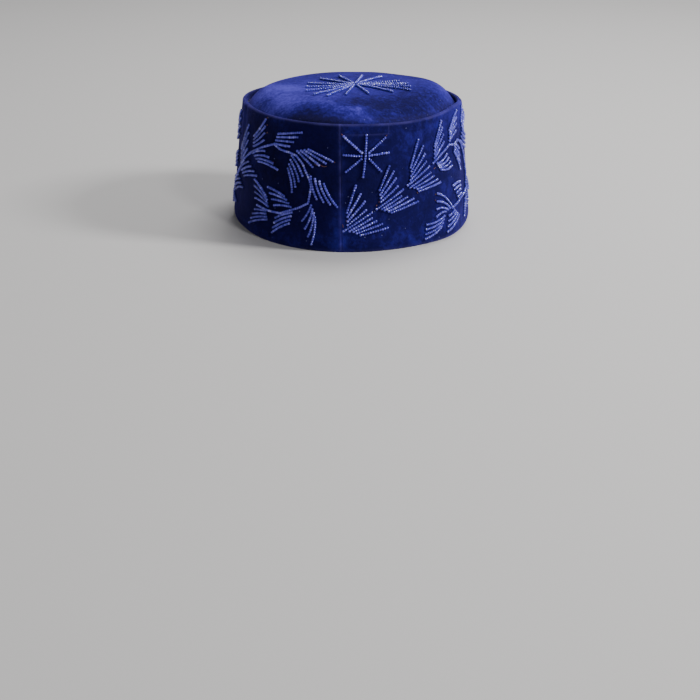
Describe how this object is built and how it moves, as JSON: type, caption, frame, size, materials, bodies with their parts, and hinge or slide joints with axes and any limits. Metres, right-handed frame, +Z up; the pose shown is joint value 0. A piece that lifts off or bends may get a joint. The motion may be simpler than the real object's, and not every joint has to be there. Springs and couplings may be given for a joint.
{
  "type": "beaded cap",
  "caption": "Round velvet cap with a tall straight side band, a soft domed crown set inside a rolled rim, and sewn glass-bead stars, fans and leafy vines.",
  "frame": {"origin": "Middle of the cap's footprint, on the plane that the hem rests on.", "axes": "+Z up to the crown, +Y towards the wearer's face, -Y to the seam at the centre back, +X to the wearer's right."},
  "size_m": [0.1742, 0.202, 0.1017],
  "materials": {
    "velvet_royal_blue": "soft short-pile velvet",
    "glass_beads_periwinkle": "glossy seed beads"
  },
  "bodies": {
    "root": {"side_band": "velvet_royal_blue", "crown_top": "velvet_royal_blue", "crown_star": "glass_beads_periwinkle", "back_star": "glass_beads_periwinkle", "fan_low": "glass_beads_periwinkle", "fan_mid": "glass_beads_periwinkle", "fan_high": "glass_beads_periwinkle", "vine_left": "glass_beads_periwinkle", "vine_right": "glass_beads_periwinkle", "front_star": "glass_beads_periwinkle", "front_fan_low": "glass_beads_periwinkle", "front_fan_mid": "glass_beads_periwinkle", "front_fan_high": "glass_beads_periwinkle", "vine_front_left": "glass_beads_periwinkle", "vine_front_right": "glass_beads_periwinkle"}
  },
  "joints": []
}
